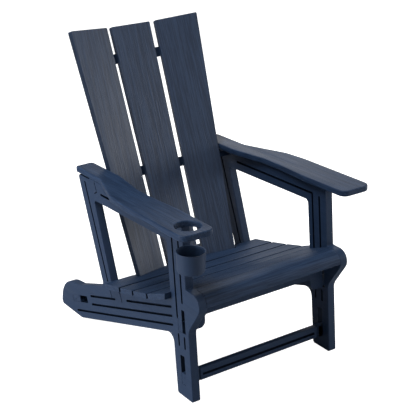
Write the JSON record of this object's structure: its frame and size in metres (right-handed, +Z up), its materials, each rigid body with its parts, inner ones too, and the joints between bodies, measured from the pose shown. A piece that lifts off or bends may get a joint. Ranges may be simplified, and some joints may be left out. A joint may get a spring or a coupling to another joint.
{
  "type": "adirondack chair",
  "caption": "Moulded plastic adirondack chair with a fan back, sloping slatted seat, wide armrests and a cup holder hung under a hole in one armrest.",
  "frame": {"origin": "on the floor, under the centre of the chair's bounding box", "axes": "+Z up, the chair faces -Y, a sitter's left hand is at +X"},
  "size_m": [0.742, 0.9178, 1.0438],
  "materials": {
    "grained_plastic": "satin navy HDPE with a fine brushed wood grain along each board",
    "frame_plastic": "satin navy HDPE, finely textured, nearly smooth",
    "cup_plastic": "smooth satin navy plastic",
    "screw_steel": "dull stainless steel"
  },
  "bodies": {
    "root": {"armrest_left": "grained_plastic", "armrest_right": "grained_plastic", "back_batten_arm_level": "frame_plastic", "back_batten_bottom": "frame_plastic", "back_batten_top": "frame_plastic", "back_slat_left": "grained_plastic", "back_slat_middle": "grained_plastic", "back_slat_right": "grained_plastic", "cup_holder": "cup_plastic", "front_apron_beam": "frame_plastic", "front_crossbar": "frame_plastic", "rear_crossbar": "frame_plastic", "screw_arm_level_left_1": "screw_steel", "screw_arm_level_left_2": "screw_steel", "screw_arm_level_middle_1": "screw_steel", "screw_arm_level_middle_2": "screw_steel", "screw_arm_level_right_1": "screw_steel", "screw_arm_level_right_2": "screw_steel", "screw_bottom_left_1": "screw_steel", "screw_bottom_left_2": "screw_steel", "screw_bottom_middle_1": "screw_steel", "screw_bottom_middle_2": "screw_steel", "screw_bottom_right_1": "screw_steel", "screw_bottom_right_2": "screw_steel", "screw_top_left_1": "screw_steel", "screw_top_left_2": "screw_steel", "screw_top_middle_1": "screw_steel", "screw_top_middle_2": "screw_steel", "screw_top_right_1": "screw_steel", "screw_top_right_2": "screw_steel", "seat_front_board": "grained_plastic", "seat_slat_front": "grained_plastic", "seat_slat_middle": "grained_plastic", "seat_slat_rear": "grained_plastic", "side_frame_left": "frame_plastic", "side_frame_right": "frame_plastic"}
  },
  "joints": []
}
